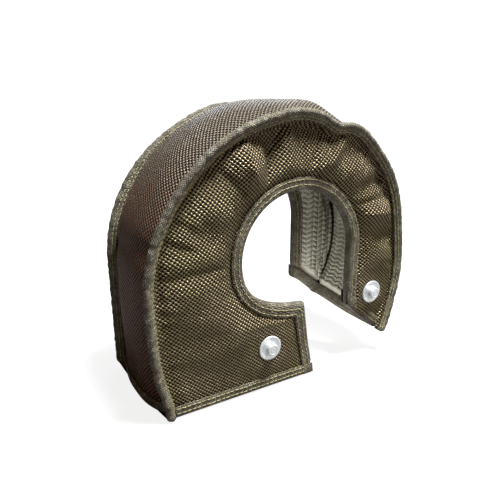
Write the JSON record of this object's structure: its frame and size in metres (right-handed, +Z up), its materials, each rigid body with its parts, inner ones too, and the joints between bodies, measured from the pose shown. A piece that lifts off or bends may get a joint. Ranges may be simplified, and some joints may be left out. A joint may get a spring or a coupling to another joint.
{
  "type": "turbocharger heat blanket",
  "caption": "C-shaped padded heat blanket that wraps a turbine housing, with puffed cloth panels, folded bindings and riveted lacing studs.",
  "frame": {"origin": "centre of the whole blanket's box, on the surface that its foot stands on", "axes": "+Z up, +X from the foot towards the free leg, +Y from the front panel to the rear panel along the turbine's axis"},
  "size_m": [0.1944, 0.0852, 0.1782],
  "materials": {
    "outer_cloth": "coarse glossy basalt weave",
    "binding_tape": "fine woven tape with olive stitching",
    "knit_lining": "chunky silica knit",
    "fibre_mat": "matt ceramic fibre",
    "stud_steel": "bright stainless"
  },
  "bodies": {
    "root": {"front_panel_cloth": "outer_cloth", "rear_panel_cloth": "outer_cloth", "band_cloth": "outer_cloth", "front_seam_binding": "binding_tape", "rear_seam_binding": "binding_tape", "front_opening_binding": "binding_tape", "rear_opening_binding": "binding_tape", "front_foot_binding": "binding_tape", "rear_foot_binding": "binding_tape", "front_leg_binding": "binding_tape", "rear_leg_binding": "binding_tape", "band_foot_binding": "binding_tape", "band_leg_binding": "binding_tape", "front_panel_lining": "knit_lining", "rear_panel_lining": "knit_lining", "band_lining": "knit_lining", "front_panel_mat": "fibre_mat", "rear_panel_mat": "fibre_mat", "band_mat": "fibre_mat", "front_foot_stud_anchor": "stud_steel", "front_foot_stud_washer": "stud_steel", "front_foot_stud_cap": "stud_steel", "front_leg_stud_anchor": "stud_steel", "front_leg_stud_washer": "stud_steel", "front_leg_stud_cap": "stud_steel", "rear_foot_stud_anchor": "stud_steel", "rear_foot_stud_washer": "stud_steel", "rear_foot_stud_cap": "stud_steel", "rear_leg_stud_anchor": "stud_steel", "rear_leg_stud_washer": "stud_steel", "rear_leg_stud_cap": "stud_steel"}
  },
  "joints": []
}
